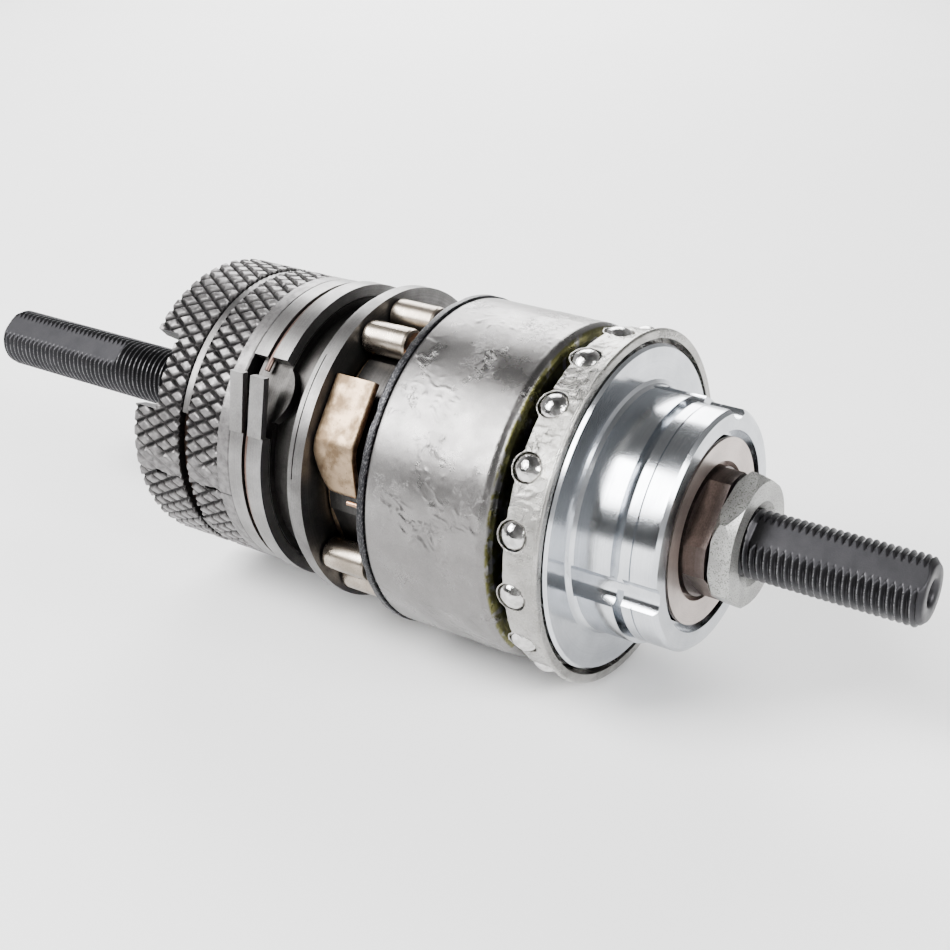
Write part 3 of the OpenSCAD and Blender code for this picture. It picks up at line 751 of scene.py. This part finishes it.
def add_retainer():
    """The retainer, pressed out round the balls, wrinkled by grease and cut for them."""
    def pressed(r, s, a):
        reach = (sheet_edge(a) - PRESSED_FROM) / (SHEET_TO - PRESSED_FROM)
        s = np.where(s > PRESSED_FROM, PRESSED_FROM + (s - PRESSED_FROM) * reach, s)
        x = np.radians(a) * SHEET_R
        wrinkle = np.zeros(s.shape)
        for index in np.ndindex(s.shape):
            if r[index] > SHEET_R - 0.2:
                at = (x[index] * 0.55, s[index] * 0.8, 5.0)
                wrinkle[index] = max(0.0, 1 - abs(noise.noise(at)) * 6)
        return r + 0.12 * wrinkle * (s > PRESSED_FROM - 0.1), s

    outline = [(SHEET_IN_R - 0.02, LIP_FROM), (LIP_R - 0.27, LIP_FROM), (LIP_R, LIP_FROM + 0.2),
               (LIP_R, LIP_FROM + 0.55), (LIP_R - 0.29, LIP_FROM + 0.73),
               (SHEET_R, LIP_FROM + 0.8), (SHEET_R, SHEET_TO), (SHEET_IN_R, SHEET_TO),
               (SHEET_IN_R, LIP_FROM + 0.45)]
    piece = turned("retainer_pressed", outline, SHEET, "drive_bearing", 0.12, 0.3, 680,
                   shape=pressed, smooth=50.0)
    cutter = ball_holes()
    holes = piece.modifiers.new("holes", "BOOLEAN")
    holes.object = cutter
    holes.operation = "DIFFERENCE"
    depsgraph = bpy.context.evaluated_depsgraph_get()
    mesh = bpy.data.meshes.new_from_object(piece.evaluated_get(depsgraph))
    piece.modifiers.clear()
    piece.data = mesh
    bpy.data.objects.remove(cutter)
    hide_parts("drive_ball_retainer")


# Roller cage: bent bronze sheet

POST_R, POST_TIP_R = 21.7, 19.65
POST_FROM, POST_TO, POST_THICK = 51.2, 58.1, 1.2
POST_START, POST_BEND, POST_CORNER, POST_TIP = 131.7, 157, 160.5, 177.8
BEND_SHARE = 0.2
TAPER_SHARE, TAPER = 0.38, 3.6
SHEET_CORNER, END_INSET = 0.38, 0.3
FOOT_ARC = (136, 158)
FOOT_BAND = band(17.4, 21.4, 57.32, 57.98)
RING_BAND = band(16.5, 17.9, 57.22, 58.08)


def flat_point(r, a):
    """The (x, z) place in millimetres of a radius and an angle."""
    return point(r, 0, a)[[0, 2]] / MM


def add_post(name, path):
    """A sheet swept along (x, z) points, with rounded edges and a tapering free end."""
    half = POST_THICK / 2
    across = rounded(band(-half, half, POST_FROM, POST_TO), SHEET_CORNER, 1.2)
    mid = np.array(path)
    run = np.gradient(mid, axis=0)
    run /= np.linalg.norm(run, axis=1)[:, None]
    normal = np.stack([run[:, 1], -run[:, 0]], 1)
    last = len(mid) - 1
    verts = []
    for k, (m, n) in enumerate(zip(mid, normal)):
        inset = END_INSET if k in (0, last) else 0.0
        taper = max(0.0, k - (1 - TAPER_SHARE) * len(mid)) / (TAPER_SHARE * len(mid))
        end_s = POST_TO - TAPER * (1 - (1 - taper ** 2) ** 0.5)
        share = (end_s - POST_FROM - 2 * inset) / (POST_TO - POST_FROM)
        for d, s in across:
            x, z = m + n * np.sign(d) * (abs(d) - inset)
            verts.append((x * MM, (POST_FROM + inset + (s - POST_FROM) * share) * MM, z * MM))
    columns = len(across)
    faces = grid_faces(len(mid), columns, False, True)
    faces += [list(range(columns)), [last * columns + i for i in reversed(range(columns))]]
    piece = new_object(name, verts, faces, BRONZE, "cage", 50.0)
    orient(piece)
    return piece


def add_cage():
    """Three bent posts with their feet on a flat ring."""
    for k in range(3):
        turn = 120 * k
        first, start, corner, tip = (flat_point(r, a + turn) for r, a in (
            (POST_R, POST_START), (POST_R, POST_BEND), (POST_R, POST_CORNER),
            (POST_TIP_R, POST_TIP)))
        end = corner + (tip - corner) * BEND_SHARE
        path = part_way(first, start, 0, 0.01, *np.linspace(0.04, 0.97, 26))
        path += [(1 - u) ** 2 * start + 2 * u * (1 - u) * corner + u * u * end
                 for u in np.linspace(0, 1, 12)]
        path += part_way(end, tip, *np.linspace(0, 1, 14)[1:])
        add_post(f"cage_post_{k + 1}", path)
        foot = turned(f"cage_foot_{k + 1}", FOOT_BAND, BRONZE, "cage", 0.1, 2.0, 24,
                      arc=[angle + turn for angle in FOOT_ARC])
    ring = turned("cage_ring", RING_BAND, BRONZE, "cage", 0.1, 2.0, 180)
    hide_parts("roller_cage")


dress_cad()
add_axle()
for number in (1, 2, 3):
    add_shoe(number)
add_ring_skin()
add_cover()
add_retainer()
add_cage()

add_camera()
add_world()
add_floor()
for softbox in SOFTBOXES:
    add_softbox(*softbox)
